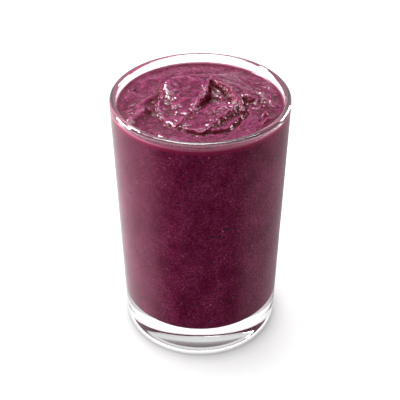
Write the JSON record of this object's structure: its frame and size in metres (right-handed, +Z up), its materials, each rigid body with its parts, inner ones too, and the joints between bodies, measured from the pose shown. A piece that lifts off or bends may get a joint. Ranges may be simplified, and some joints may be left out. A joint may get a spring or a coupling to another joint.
{
  "type": "berry smoothie in a drinking glass",
  "caption": "Thick purple berry smoothie with a spooned swirl on top, in a plain tapered drinking glass with a heavy clear base.",
  "frame": {"origin": "on the axis of the glass, in the plane that it stands on", "axes": "+Z up along the axis of the glass; the swirl's peak lies towards +Y and its open side faces -Y"},
  "size_m": [0.0781, 0.0782, 0.1211],
  "materials": {
    "clear_glass": "clear, polished, colourless",
    "berry_smoothie": "wet thick fruit puree, dull mauve with a soft sheen and fine dark specks"
  },
  "bodies": {
    "root": {"glass": "clear_glass", "smoothie": "berry_smoothie"}
  },
  "joints": []
}
